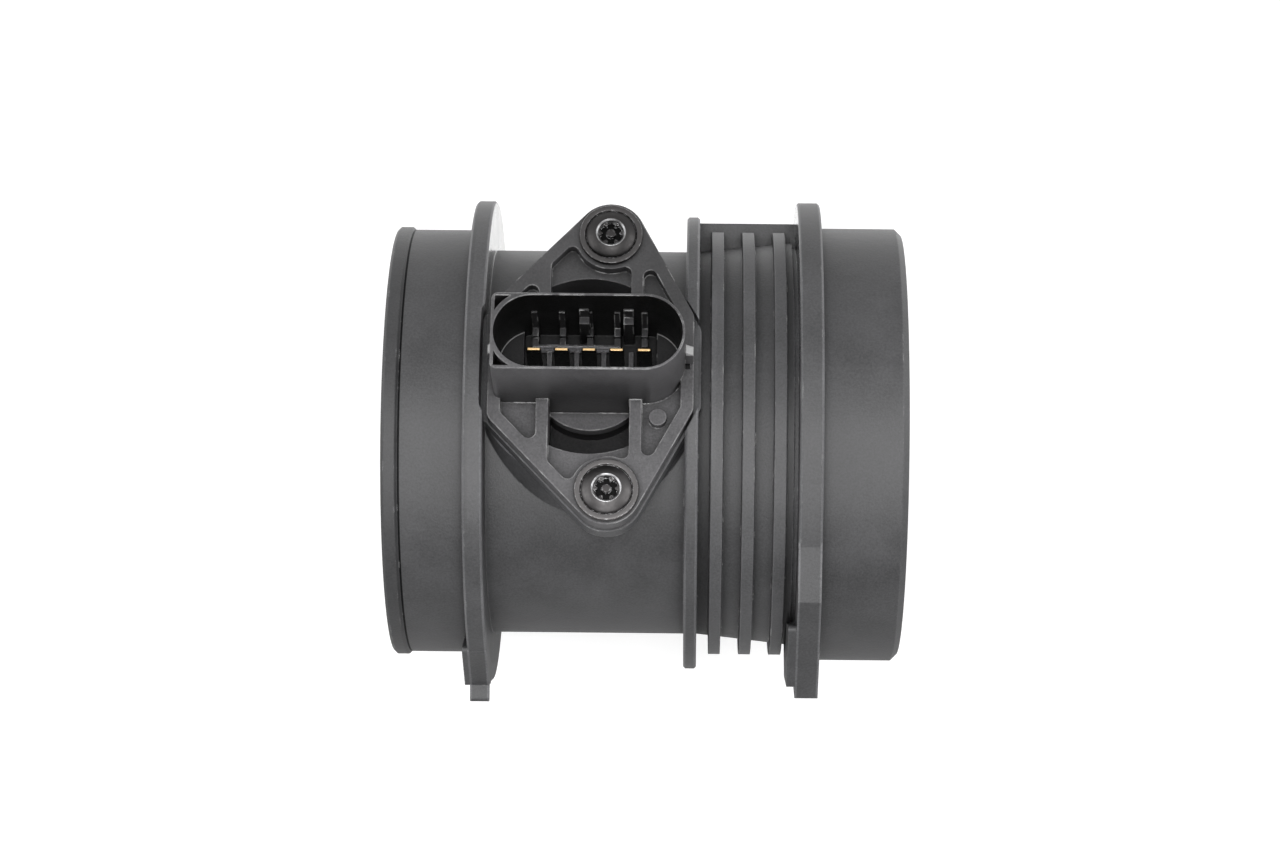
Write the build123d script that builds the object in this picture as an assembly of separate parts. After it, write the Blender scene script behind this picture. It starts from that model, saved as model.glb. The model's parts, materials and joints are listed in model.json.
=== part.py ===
"""Plug-in hot-film mass airflow sensor in a round moulded air duct.

Frame: X runs along the duct axis and points out of the inlet, +Z points out of the duct along the
plug-in sensor, and Y completes the frame. The origin is on the duct axis, in the plane of the
inlet flange's outer face, where the inlet spigot starts. All sizes are in millimetres.
"""
import os
from math import cos, hypot, radians, sin, sqrt, tan

from build123d import *

os.makedirs("parts", exist_ok=True)

# ---- Duct: stations along X -------------------------------------------------------------------
inlet_spigot_length = 16.1
inlet_flange_thickness = 4.45
cone_length = 18.85
mid_flange_thickness = 2.5
measuring_tube_length = 37.5
outlet_flange_thickness = 3.7
outlet_spigot_length = 15.5

cone_start = -(inlet_flange_thickness + cone_length)
mid_flange_back = cone_start - mid_flange_thickness
outlet_flange_front = mid_flange_back - measuring_tube_length
outlet_flange_back = outlet_flange_front - outlet_flange_thickness
outlet_end = outlet_flange_back - outlet_spigot_length

# ---- Duct: radii and walls --------------------------------------------------------------------
inlet_spigot_radius = 42.65
inlet_bore_radius = 39.7
inlet_mouth_chamfer = 1.2
inlet_flange_radius = 47.6
mid_flange_radius = 44.6
measuring_tube_radius = 37.72
measuring_bore_radius = 35.0
cone_front_radius = 39.8
nozzle_mouth_radius = 37.2
nozzle_length = 10.8
outlet_flange_radius = 47.4
outlet_spigot_radius = 41.68
outlet_bore_radius = 39.0
outlet_taper_length = 5.0
hose_bead_radius = 42.2
hose_bead_width = 3.1
flange_edge_chamfer = 0.4
relief_groove_width = 0.85
relief_groove_depth = 1.2

# ---- Duct: stiffening fins round the cone and the web between the flanges ----------------------
fin_count = 3
fin_pitch = 5.95
fin_first_gap = 2.2
fin_tip_width = 2.3
fin_root_width = 2.6
fin_radius = 41.7
web_reach = 43.05
web_thickness = 2.6
web_height = -0.5

# ---- Duct: lugs on the two end flanges, turned about the duct axis ----------------------------
lug_turn = 20.0
outlet_lug_start = (-39.5, 26.5)
outlet_lug_inset = 0.1
outlet_lug_front = 15.5
outlet_lug_end_width = 5.5
outlet_lug_foot = (-38.3, -14.0)
outlet_lug_extra_thickness = 1.0
outlet_tab_step = 3.2
outlet_tab_thickness = 2.0
inlet_lug_top_start = -18.5
inlet_lug_top_inset = 3.9
inlet_lug_shoulder = -29.6
inlet_lug_shoulder_inset = 6.1
inlet_lug_corner_rise = 24.6
inlet_lug_corner_reach = 1.1
inlet_lug_foot_rise = 8.0
inlet_lug_foot_inset = 2.6
inlet_boss_top = 34.0
inlet_boss_inset = 1.3
inlet_boss_thickness = 1.6
lug_round = 0.8

# ---- Sensor seat on the duct ------------------------------------------------------------------
sensor_x = -43.65
seat_rise = 2.78
seat_plate_thickness = 3.0
seat_lobe_radius = 6.9
seat_half_width = 20.55
seat_corner_heights = (8.8, 7.1)
seat_drum_radius = 22.0
seat_drum_draft = 18.0
seat_bore_radius = 18.5
seat_collar_wall = 2.1
screw_pillar_radius = 2.9
pilot_hole_radius = 1.8
pilot_hole_depth = 12.3

# ---- Sensor flange ----------------------------------------------------------------------------
screw_spacing = 50.9
screw_offset = 3.55
flange_thickness = 3.4
flange_lobe_radius = 6.5
flange_half_width = 19.15
flange_offset = 0.25
flange_corner_heights = (9.9, 8.7)
flange_corner_radius = 3.0
flange_rim_width = 2.4
flange_rib_offset = 8.67
flange_rib_width = 2.25
pocket_depth = 2.2
pocket_corner_round = 1.3
screw_boss_radius = 6.75
screw_hole_radius = 2.1
ejector_boss_radius = 1.62
ejector_boss_place = (12.8, -10.7)
ejector_boss_sink = 0.6
well_outer_radius = 17.5
well_ledge_radius = 15.4
well_inner_radius = 11.05
well_ledge = 33.9
well_floor = 31.2
core_top = 36.5

# ---- Neck and its seal ------------------------------------------------------------------------
neck_clearance = 0.15
neck_bottom = 29.6
seal_groove_width = 2.2
seal_groove_depth = 1.45
seal_groove_base = 30.7
seal_slack = 0.02
seal_side_gap = 0.25

# ---- Connector socket -------------------------------------------------------------------------
socket_offset = 0.05
socket_length = 34.65
socket_width = 14.0
socket_wall = 0.45
socket_rim = 59.2
socket_end_floor = 42.0
socket_pit_floor = 39.5
socket_pit_half_length = 12.4
socket_rim_chamfer = 0.1
square_end_length = 9.0
square_end_round = 1.2
corner_core_wall = 0.6
corner_core_round_wall = 0.9
corner_core_depth = 11.0
latch_width = 1.7
latch_top = 50.8
latch_ramp = 1.2
latch_slot_width = 2.8
latch_slot_length = 0.85
outlet_latch_reach = 1.0
outlet_latch_height = 3.6
inlet_latch_reach = 1.5
inlet_latch_height = 5.4
key_width = 1.85
key_depth = 1.85
key_top = 49.6
key_places = (-1.0, 7.2)
key_back_depth = 0.4
key_back_top = 52.75

# ---- Terminals --------------------------------------------------------------------------------
terminal_count = 5
terminal_pitch = 5.1
terminal_width = 2.8
terminal_thickness = 0.8
terminal_top = 50.0
terminal_tip_width = 2.2
terminal_tip_height = 0.7
terminal_tip_thickness = 0.4
terminal_leg_width = 1.2
terminal_leg_pitch = 3.3
terminal_blade_foot = 37.6
terminal_bend_height = 1.6
terminal_leg_end = 26.6
post_width = 1.15
post_steps = ((0.35, 51.3), (2.1, 44.05), (3.8, 43.25))
comb_thickness = 0.35
comb_height = 3.4
comb_gaps = 3
floor_rib_width = 0.9
floor_rib_height = 1.1
floor_rib_root = 0.2

# ---- Probe blade that hangs into the air ------------------------------------------------------
probe_length = 22.0
probe_thickness = 11.0
probe_bottom = -10.0
probe_edge_round = 1.2
cover_thickness = 1.4
cover_inset = 1.3
cover_clearance = 0.1
cover_split = 8.4
chamber_floor = -1.0
chamber_bottom = 9.0
chamber_top = 28.0
chamber_half_length = 9.0
channel_floor = -3.6
channel_height = 4.8
channel_centre = (-3.0, -1.1)
channel_divider = 2.2
channel_mouth_height = 7.0
channel_mouth_length = 5.0
channel_exit = (4.4, 4.0)

# ---- Electronics ------------------------------------------------------------------------------
carrier_thickness = 1.0
carrier_clearance = 0.1
carrier_top = 25.8
tongue_width = 5.0
tongue_end = 0.9
board_thickness = 0.8
board_margin = 0.6
chip_size = (3.0, 3.4, 0.4)
chip_tip_gap = 0.3
evaluation_chip_size = (5.5, 5.5, 1.2)
evaluation_chip_place = (-2.6, 19.5)
capacitor_size = (2.0, 1.3, 0.9)
capacitor_places = ((5.4, 22.0), (5.4, 18.0), (5.4, 14.0), (-3.6, 12.6))
bond_width = 0.5
bond_thickness = 0.25
bond_foot = 1.3
thermistor_x = 14.6
thermistor_radius = 1.4
thermistor_length = 3.4
thermistor_drop = 8.5
thermistor_lead_width = 0.5
thermistor_lead_pitch = 1.6
thermistor_lead_root = 2.2

# ---- Inlet straightener -----------------------------------------------------------------------
insert_clearance = 0.15
insert_shoulder = 0.8
honeycomb_depth = 8.0
honeycomb_rim = 1.4
cell_across_flats = 9.4
cell_wall = 0.8
least_cell_share = 0.1
screen_thickness = 0.6
screen_pitch = 12.4
screen_wire = 0.6
screen_rim = 1.2
ring_depth = 3.0
ring_wall = 1.9
ring_clearance = 0.02

# ---- Flange screws ----------------------------------------------------------------------------
screw_shank_radius = 1.75
screw_length = 14.2
screw_washer_radius = 6.0
screw_washer_thickness = 0.9
screw_dome_radius = 4.65
screw_crown_radius = 2.8
screw_dome_height = 1.0
screw_recess_radius = 2.4
screw_recess_lobes = 6
screw_recess_depth = 1.2
screw_recess_pin_radius = 0.85

# ---- Sizes that follow ------------------------------------------------------------------------
tallest_flange = max(inlet_flange_radius, mid_flange_radius, outlet_flange_radius)
seat_plane = measuring_tube_radius + seat_rise
flange_top = seat_plane + flange_thickness
neck_radius = seat_bore_radius - neck_clearance
half_thickness = probe_thickness / 2
cover_inner = half_thickness - cover_thickness
insert_radius = inlet_bore_radius - insert_clearance
honeycomb_front = insert_shoulder + honeycomb_depth
screen_front = honeycomb_front + screen_thickness
well_half_width = flange_rib_offset - flange_rib_width / 2
board_top_face = chamber_floor + carrier_thickness + board_thickness
hose_bead_height = hose_bead_radius - outlet_spigot_radius
overshoot = 1.0


def turned(start, end, radius, end_radius=None, edges=(0.0, 0.0)):
    """A solid disc, cylinder or cone about the duct axis, its two rims chamfered by edges."""
    far_radius = radius if end_radius is None else end_radius
    start_edge, end_edge = edges
    points = [(start, 0), (start, radius - start_edge)]
    if start_edge > 0:
        points.append((start + start_edge, radius))
    if end_edge > 0:
        points.append((end - end_edge, far_radius))
    points += [(end, far_radius - end_edge), (end, 0)]
    return revolve(Plane.XZ * make_face(Polyline(*points, close=True)), Axis.X, 360)


def upright(sketch, bottom, top):
    """A sketch drawn about the sensor axis, raised from one height to another."""
    return Pos(sensor_x, 0, bottom) * extrude(sketch, top - bottom)


def round_post(radius, bottom, top, x=0.0, y=0.0):
    """An upright cylinder placed from the sensor axis."""
    return upright(Pos(x, y) * Circle(radius), bottom, top)


def block(x, y, z):
    """A box from three (low, high) pairs, with X counted from the sensor axis."""
    sizes = [pair[1] - pair[0] for pair in (x, y, z)]
    centre = [(pair[1] + pair[0]) / 2 for pair in (x, y, z)]
    return Pos(sensor_x + centre[0], centre[1], centre[2]) * Box(*sizes)


def diamond(lobe_radius, half_width, corner_heights, margin=0.0):
    """A hull round two screw lobes and four corner circles, the outlet end's pair first."""
    corner_x = half_width - flange_corner_radius
    circles = Sketch()
    for side in (-1, 1):
        circles += Pos(screw_offset, side * screw_spacing / 2) * Circle(lobe_radius + margin)
        for end, height in zip((-1, 1), corner_heights):
            place = Pos(flange_offset + end * corner_x, side * height)
            circles += place * Circle(flange_corner_radius + margin)
    return make_hull(circles.edges())


def flange_outline(margin=0.0):
    """The sensor flange's outline."""
    return diamond(flange_lobe_radius, flange_half_width, flange_corner_heights, margin)


def seat_outline():
    """The outline of the plate under the sensor flange, a little wider than the flange."""
    return diamond(seat_lobe_radius, seat_half_width, seat_corner_heights)


def save(part, name):
    """Write one node's STEP file."""
    part.label = name
    export_step(part, f"parts/{name}.step")


# ---- Duct housing -----------------------------------------------------------------------------
def lug_plane(x):
    """The cross-section of the duct at x, turned so that the lugs lie level in it."""
    turn = radians(lug_turn)
    return Plane(origin=(x, 0, 0), x_dir=(0, cos(turn), sin(turn)), z_dir=(1, 0, 0))


def duct_lug(points, start, end):
    """A flat lug grown from an end flange, with rounded corners outside the flange's rim."""
    outline = make_face(Polyline(*points, close=True))
    outer = outline.vertices().filter_by(lambda v: hypot(v.X, v.Y) > measuring_tube_radius + overshoot)
    return extrude(lug_plane(start) * fillet(outer, lug_round), end - start)


def outlet_lug():
    """A wedge below the flange's rim that stands back from it, with a thin tab at its end."""
    bottom = outlet_flange_radius - outlet_lug_inset
    end_back = outlet_lug_front - outlet_lug_end_width
    body = [
        outlet_lug_start,
        (-bottom, outlet_lug_front),
        (-bottom, end_back),
        outlet_lug_foot,
        (-measuring_bore_radius, 0),
    ]
    tab_root = bottom - outlet_tab_step
    tab_bottom = bottom + outlet_tab_step
    tab_back = outlet_lug_front - outlet_tab_thickness
    tab = [
        (-tab_root, outlet_lug_front),
        (-tab_bottom, outlet_lug_front),
        (-tab_bottom, tab_back),
        (-tab_root, tab_back),
    ]
    lug = duct_lug(body, outlet_flange_back - outlet_lug_extra_thickness, outlet_flange_front)
    return lug + duct_lug(tab, outlet_flange_back, outlet_flange_front)


def inlet_lug():
    """A stepped lug on the rim's lower front, with a shallow boss behind its slanted face."""
    shoulder_v = inlet_flange_radius - inlet_lug_shoulder_inset
    corner_u = -(inlet_flange_radius + inlet_lug_corner_reach)
    slope = (inlet_lug_corner_rise - shoulder_v) / (corner_u - inlet_lug_shoulder)
    plate = [
        (inlet_lug_top_start, inlet_flange_radius - inlet_lug_top_inset),
        (inlet_lug_shoulder, shoulder_v),
        (corner_u, inlet_lug_corner_rise),
        (inlet_lug_foot_inset - inlet_flange_radius, inlet_lug_foot_rise),
        (-measuring_bore_radius, 0),
        (0, measuring_bore_radius),
    ]
    boss_bottom = inlet_flange_radius - inlet_boss_inset
    boss = [
        (-inlet_boss_top, shoulder_v + slope * (-inlet_boss_top - inlet_lug_shoulder)),
        (-boss_bottom, shoulder_v + slope * (-boss_bottom - inlet_lug_shoulder)),
        (-boss_bottom + lug_round, inlet_lug_foot_rise),
        (-measuring_bore_radius, 0),
    ]
    lug = duct_lug(plate, -inlet_flange_thickness, 0)
    return lug + duct_lug(boss, -inlet_flange_thickness - inlet_boss_thickness, -lug_round)


def stiffening_fin(index):
    """One ring round the cone, thinner at its tip than at its root."""
    centre = cone_start + fin_first_gap + fin_root_width / 2 + index * fin_pitch
    half_root = fin_root_width / 2
    half_tip = fin_tip_width / 2
    section = make_face(
        Polyline(
            (centre - half_root, measuring_bore_radius),
            (centre - half_tip, fin_radius),
            (centre + half_tip, fin_radius),
            (centre + half_root, measuring_bore_radius),
            close=True,
        )
    )
    return revolve(Plane.XZ * section, Axis.X, 360)


def flange_web():
    """The lengthwise plate that ties the middle flange to the inlet flange."""
    middle_reach = (measuring_tube_radius + web_reach) / 2
    plate = Pos(middle_reach, web_height - web_thickness / 2) * Rectangle(
        web_reach - measuring_tube_radius + overshoot, web_thickness
    )
    return extrude(lug_plane(cone_start - overshoot) * plate, cone_length + 2 * overshoot)


def relief_groove():
    """The narrow groove round the cone's front end, against the inlet flange."""
    start = -inlet_flange_thickness - relief_groove_width
    outer = turned(start, -inlet_flange_thickness, inlet_flange_radius)
    inner = turned(start, -inlet_flange_thickness, cone_front_radius - relief_groove_depth)
    return outer - inner


def duct_outside():
    bead_end = outlet_end + hose_bead_width
    both_bead_edges = (hose_bead_height, hose_bead_height)
    both_edges = (flange_edge_chamfer, flange_edge_chamfer)
    body = turned(outlet_end, outlet_flange_back + overshoot, outlet_spigot_radius)
    body += turned(outlet_end, bead_end, hose_bead_radius, edges=both_bead_edges)
    body += turned(outlet_flange_front - overshoot, cone_start + overshoot, measuring_tube_radius)
    body += turned(cone_start, -inlet_flange_thickness, measuring_tube_radius, cone_front_radius)
    for index in range(fin_count):
        body += stiffening_fin(index)
    body -= relief_groove()
    body += turned(outlet_flange_back, outlet_flange_front, outlet_flange_radius, edges=both_edges)
    body += turned(mid_flange_back, cone_start, mid_flange_radius, edges=both_edges)
    body += turned(-inlet_flange_thickness, 0, inlet_flange_radius, edges=both_edges)
    body += turned(-overshoot, inlet_spigot_length, inlet_spigot_radius, edges=(0, inlet_mouth_chamfer))
    return body + flange_web() + outlet_lug() + inlet_lug()


def duct_bore():
    """The air passage: wide at both spigots, narrow through the measuring section."""
    taper_start = outlet_flange_back
    taper_end = taper_start + outlet_taper_length
    nozzle_end = insert_shoulder - nozzle_length
    passage = turned(outlet_end - overshoot, taper_start, outlet_bore_radius)
    passage += turned(taper_start, taper_end, outlet_bore_radius, measuring_bore_radius)
    passage += turned(taper_end, nozzle_end, measuring_bore_radius)
    passage += turned(nozzle_end, insert_shoulder, measuring_bore_radius, nozzle_mouth_radius)
    passage += turned(insert_shoulder, inlet_spigot_length + overshoot, inlet_bore_radius)
    return passage


def sensor_seat():
    """Drafted drum, screw pillars and face plate that carry the plug-in sensor."""
    plate_bottom = seat_plane - seat_plate_thickness
    drum_foot = seat_drum_radius + plate_bottom * tan(radians(seat_drum_draft))
    drum = Pos(sensor_x, 0, plate_bottom / 2) * Cone(drum_foot, seat_drum_radius, plate_bottom)
    between_flanges = block(
        (outlet_flange_back - sensor_x, cone_start - sensor_x),
        (-tallest_flange, tallest_flange),
        (0, seat_plane),
    )
    seat = drum & between_flanges
    for side in (-1, 1):
        seat += round_post(screw_pillar_radius, 0, seat_plane, screw_offset, side * screw_spacing / 2)
    return seat + upright(seat_outline(), plate_bottom, seat_plane)


def duct_housing():
    room_above = upright(seat_outline(), seat_plane, tallest_flange + overshoot)
    collar_radius = seat_bore_radius + seat_collar_wall
    housing = duct_outside() + sensor_seat() - room_above - duct_bore()
    housing += round_post(collar_radius, neck_bottom, measuring_bore_radius + overshoot)
    housing -= round_post(seat_bore_radius, neck_bottom - overshoot, seat_plane + overshoot)
    for side in (-1, 1):
        hole_bottom = seat_plane - pilot_hole_depth
        place = side * screw_spacing / 2
        housing -= round_post(pilot_hole_radius, hole_bottom, seat_plane + overshoot, screw_offset, place)
    return housing


# ---- Connector socket -------------------------------------------------------------------------
def socket_outer():
    """The socket's outline: round at the inlet end, square at the outlet end."""
    slot = Pos(socket_offset, 0) * SlotOverall(
        socket_length + 2 * socket_wall, socket_width + 2 * socket_wall
    )
    left = socket_offset - socket_length / 2 - socket_wall
    square = Rectangle(square_end_length, socket_width + 2 * socket_wall)
    square = fillet(square.vertices().group_by(Axis.X)[0], square_end_round)
    return slot + Pos(left + square_end_length / 2, 0) * square


def socket_corner_cores():
    """The two three-sided holes between the round cavity and the square outer corners."""
    left = socket_offset - socket_length / 2 - socket_wall
    inside = Rectangle(square_end_length, socket_width + 2 * (socket_wall - corner_core_wall))
    inside = Pos(left + corner_core_wall + square_end_length / 2, 0) * inside
    round_end = Pos(socket_offset, 0) * SlotOverall(
        socket_length + 2 * corner_core_round_wall, socket_width + 2 * corner_core_round_wall
    )
    return inside - round_end


def socket_cavity():
    cavity = Pos(socket_offset, 0) * SlotOverall(socket_length, socket_width)
    pit = cavity & Pos(socket_offset, 0) * Rectangle(2 * socket_pit_half_length, socket_width)
    hollow = upright(cavity, socket_end_floor, socket_rim + overshoot)
    return hollow + upright(pit, socket_pit_floor, socket_rim)


def terminal_place(index):
    """Distance of a terminal's blade from the sensor axis."""
    return (index - (terminal_count - 1) / 2) * terminal_pitch


def socket_posts():
    """Stepped posts behind the blades, the comb between them and the ribs on the pit's floor."""
    wall_face = socket_width / 2
    comb_front = wall_face - post_steps[-1][0]
    comb_top = post_steps[-1][1]
    rib_root = socket_pit_floor - floor_rib_root
    posts = Part()
    for index in range(terminal_count):
        x = terminal_place(index)
        for depth, top in post_steps:
            along = (x - post_width / 2, x + post_width / 2)
            posts += block(along, (wall_face - depth, wall_face + socket_wall / 2), (socket_pit_floor, top))
    for index in range(terminal_count - 1):
        left = terminal_place(index)
        middle = left + terminal_pitch / 2
        across = (-wall_face - socket_wall / 2, comb_front)
        along = (middle - floor_rib_width / 2, middle + floor_rib_width / 2)
        posts += block(along, across, (rib_root, socket_pit_floor + floor_rib_height))
        if index < comb_gaps:
            web = (comb_front, comb_front + comb_thickness)
            posts += block((left, left + terminal_pitch), web, (comb_top - comb_height, comb_top))
            posts += block(along, web, (rib_root, comb_top))
    return posts


def socket_keys():
    """Coding ribs on the cavity's long wall, each with a flat top and a thinner rib above it."""
    wall_face = socket_width / 2
    keys = Part()
    for place in key_places:
        side = make_face(
            Polyline(
                (wall_face + socket_wall / 2, socket_pit_floor),
                (wall_face - key_depth, socket_pit_floor),
                (wall_face - key_depth, key_top),
                (wall_face - key_back_depth, key_top),
                (wall_face - key_back_depth, key_back_top),
                (wall_face + socket_wall / 2, key_back_top),
                close=True,
            )
        )
        start = Plane.YZ.offset(sensor_x + socket_offset + place - key_width / 2)
        keys += extrude(start * side, key_width)
    return keys


def latch_barbs():
    """The plug's two catches, one on each rounded end of the socket."""
    barbs = Part()
    sizes = ((-1, outlet_latch_reach, outlet_latch_height), (1, inlet_latch_reach, inlet_latch_height))
    for end, reach, height in sizes:
        face = end * (socket_length / 2 + socket_wall)
        side = make_face(
            Polyline(
                (face - end * socket_wall / 2, latch_top - height),
                (face + end * reach, latch_top - height),
                (face + end * reach, latch_top - latch_ramp),
                (face, latch_top),
                (face - end * socket_wall / 2, latch_top),
                close=True,
            )
        )
        barbs += Pos(socket_offset, 0) * side_sketch_to_solid(side, -latch_width / 2, latch_width / 2)
    return barbs


def connector_socket():
    shell = upright(socket_outer(), seat_plane, socket_rim)
    rim = shell.edges().group_by(Axis.Z)[-1]
    shell = chamfer(rim, socket_rim_chamfer)
    shell -= upright(socket_corner_cores(), socket_rim - corner_core_depth, socket_rim + overshoot)
    return shell + latch_barbs()


# ---- Sensor flange and neck -------------------------------------------------------------------
def flange_ribs():
    """The two ribs that run across the flange from screw to screw, past the socket."""
    ribs = Sketch()
    for side in (-1, 1):
        ribs += Pos(side * flange_rib_offset, 0) * Rectangle(flange_rib_width, screw_spacing)
    return ribs


def flange_pockets():
    """The hollows inside the rim, left standing at the ribs, the screw bosses and the socket."""
    inside = flange_outline(-flange_rim_width) - flange_ribs()
    for side in (-1, 1):
        inside -= Pos(screw_offset, side * screw_spacing / 2) * Circle(screw_boss_radius)
    least_area = (2 * pocket_corner_round) ** 2
    pockets = Sketch()
    for face in inside.faces():
        if face.area > least_area:
            pockets += round_corners(face, pocket_corner_round)
    return pockets - socket_outer()


def round_corners(face, radius):
    """A sketch face with each sharp corner rounded."""
    return offset(offset(face, -radius, kind=Kind.INTERSECTION), radius, kind=Kind.ARC)


def centre_well():
    """The stepped hollow round the core, between the two ribs and outside the socket."""
    above = flange_top + overshoot
    lane = Rectangle(2 * well_half_width, 2 * well_outer_radius + overshoot) - socket_outer()
    ledge = (Circle(well_outer_radius) - Circle(well_inner_radius)) & lane
    gutter = (Circle(well_ledge_radius) - Circle(well_inner_radius)) & lane
    core = Circle(well_inner_radius) & lane
    well = upright(ledge, well_ledge, above) + upright(core, core_top, above)
    return well + upright(gutter, well_floor, well_ledge + overshoot)


def latch_slots():
    """The two small slots in the flange under the latches, which the mould's cores leave."""
    slots = Sketch()
    for end in (-1, 1):
        reach = socket_length / 2 + socket_wall + latch_slot_length / 2
        slots += Pos(socket_offset + end * reach, 0) * Rectangle(latch_slot_length, latch_slot_width)
    return slots


def sensor_flange():
    above = flange_top + overshoot
    plate = upright(flange_outline(), seat_plane, flange_top)
    plate -= upright(flange_pockets() + latch_slots(), flange_top - pocket_depth, above)
    plate += round_post(ejector_boss_radius, seat_plane, flange_top - ejector_boss_sink, *ejector_boss_place)
    for side in (-1, 1):
        hole_y = side * screw_spacing / 2
        plate -= round_post(screw_hole_radius, seat_plane - overshoot, above, screw_offset, hole_y)
    return plate


def sensor_neck():
    neck = round_post(neck_radius, neck_bottom, seat_plane + pocket_depth / 2)
    groove_top = seal_groove_base + seal_groove_width
    ring = Circle(neck_radius + overshoot) - Circle(neck_radius - seal_groove_depth)
    return neck - upright(ring, seal_groove_base, groove_top)


# ---- Probe blade ------------------------------------------------------------------------------
def side_sketch_to_solid(sketch, from_y, to_y):
    """A sketch of the blade's broad side, x and z about the sensor axis, given depth along Y."""
    plane = Plane(origin=(sensor_x, to_y, 0), x_dir=(1, 0, 0), z_dir=(0, -1, 0))
    return extrude(plane * sketch, to_y - from_y)


def span(x, z):
    """A rectangle of the broad side from two (low, high) pairs."""
    middle = Pos((x[0] + x[1]) / 2, (z[0] + z[1]) / 2)
    return middle * Rectangle(x[1] - x[0], z[1] - z[0])


def bypass_channel():
    """The air's path past the chip: in at the nose, round a divider and back below it."""
    turn_x, turn_z = channel_centre
    half_divider = channel_divider / 2
    outer = half_divider + channel_height
    nose = probe_length / 2
    straight_end = nose - channel_mouth_length
    path = Pos(turn_x, turn_z) * Circle(outer)
    path += span((turn_x, straight_end), (turn_z - outer, turn_z + outer))
    path -= Pos(turn_x, turn_z) * Circle(half_divider)
    path -= span((turn_x, straight_end), (turn_z - half_divider, turn_z + half_divider))
    middle = turn_z + half_divider + channel_height / 2
    mouth = make_face(
        Polyline(
            (straight_end, middle - channel_height / 2),
            (straight_end, middle + channel_height / 2),
            (nose + overshoot, middle + channel_mouth_height / 2),
            (nose + overshoot, middle - channel_mouth_height / 2),
            close=True,
        )
    )
    return path + mouth


def channel_exit_window(grow=0.0):
    """The opening in both broad sides by which the air leaves the channel."""
    turn_x, turn_z = channel_centre
    width, height = channel_exit
    exit_x = probe_length / 2 - channel_mouth_length - width / 2
    exit_z = turn_z - channel_divider / 2 - channel_height / 2
    return Pos(exit_x, exit_z) * Rectangle(width + 2 * grow, height + 2 * grow)


def cover_span(bottom, top, clearance=0.0):
    reach = probe_length / 2 - cover_inset - clearance
    return span((-reach, reach), (bottom + clearance, top - clearance))


def probe_blade():
    section = Rectangle(probe_length, probe_thickness)
    section = fillet(section.vertices(), probe_edge_round)
    blade = upright(section, probe_bottom, neck_bottom + overshoot)
    rebate = cover_span(probe_bottom + cover_inset, chamber_top + cover_inset)
    chamber = span((-chamber_half_length, chamber_half_length), (chamber_bottom, chamber_top))
    half_passage = tongue_width / 2 + carrier_clearance
    passage = span((-half_passage, half_passage), (0, chamber_bottom))
    blade -= side_sketch_to_solid(rebate, cover_inner, half_thickness + overshoot)
    blade -= side_sketch_to_solid(chamber, chamber_floor, cover_inner)
    blade -= side_sketch_to_solid(passage, chamber_floor, cover_inner)
    blade -= side_sketch_to_solid(bypass_channel(), channel_floor, cover_inner)
    window_start = -half_thickness - overshoot
    return blade - side_sketch_to_solid(channel_exit_window(), window_start, channel_floor + overshoot)


def electronics_cover():
    lid = cover_span(cover_split, chamber_top + cover_inset, cover_clearance)
    return side_sketch_to_solid(lid, cover_inner, half_thickness)


def bypass_cover():
    lid = cover_span(probe_bottom + cover_inset, cover_split, cover_clearance)
    foot_width = tongue_width / 2
    channel_top = channel_centre[1] + channel_divider / 2 + channel_height
    foot = span((-foot_width, foot_width), (channel_top, cover_split - cover_clearance))
    foot_depth = chamber_floor + carrier_thickness + carrier_clearance
    cover = side_sketch_to_solid(lid - channel_exit_window(), cover_inner, half_thickness)
    return cover + side_sketch_to_solid(foot, foot_depth, cover_inner)


# ---- Terminals --------------------------------------------------------------------------------
def terminal(index):
    """One stamping: a tapered blade in the socket, a bend and a narrow leg into the blade's chamber."""
    blade_x = terminal_place(index)
    leg_x = (index - (terminal_count - 1) / 2) * terminal_leg_pitch
    tip_shoulder = terminal_top - terminal_tip_height
    bend_end = terminal_blade_foot - terminal_bend_height
    half_blade = terminal_width / 2
    half_tip = terminal_tip_width / 2
    half_leg = terminal_leg_width / 2
    outline = make_face(
        Polyline(
            (blade_x - half_tip, terminal_top),
            (blade_x + half_tip, terminal_top),
            (blade_x + half_blade, tip_shoulder),
            (blade_x + half_blade, terminal_blade_foot),
            (leg_x + half_leg, bend_end),
            (leg_x + half_leg, terminal_leg_end),
            (leg_x - half_leg, terminal_leg_end),
            (leg_x - half_leg, bend_end),
            (blade_x - half_blade, terminal_blade_foot),
            (blade_x - half_blade, tip_shoulder),
            close=True,
        )
    )
    blade = side_sketch_to_solid(outline, -terminal_thickness / 2, terminal_thickness / 2)
    section = make_face(
        Polyline(
            (-terminal_tip_thickness / 2, terminal_top),
            (terminal_tip_thickness / 2, terminal_top),
            (terminal_thickness / 2, tip_shoulder),
            (terminal_thickness / 2, terminal_leg_end),
            (-terminal_thickness / 2, terminal_leg_end),
            (-terminal_thickness / 2, tip_shoulder),
            close=True,
        )
    )
    reach = terminal_count * terminal_pitch
    return blade & extrude(Plane.YZ.offset(sensor_x - reach) * section, 2 * reach)


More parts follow.
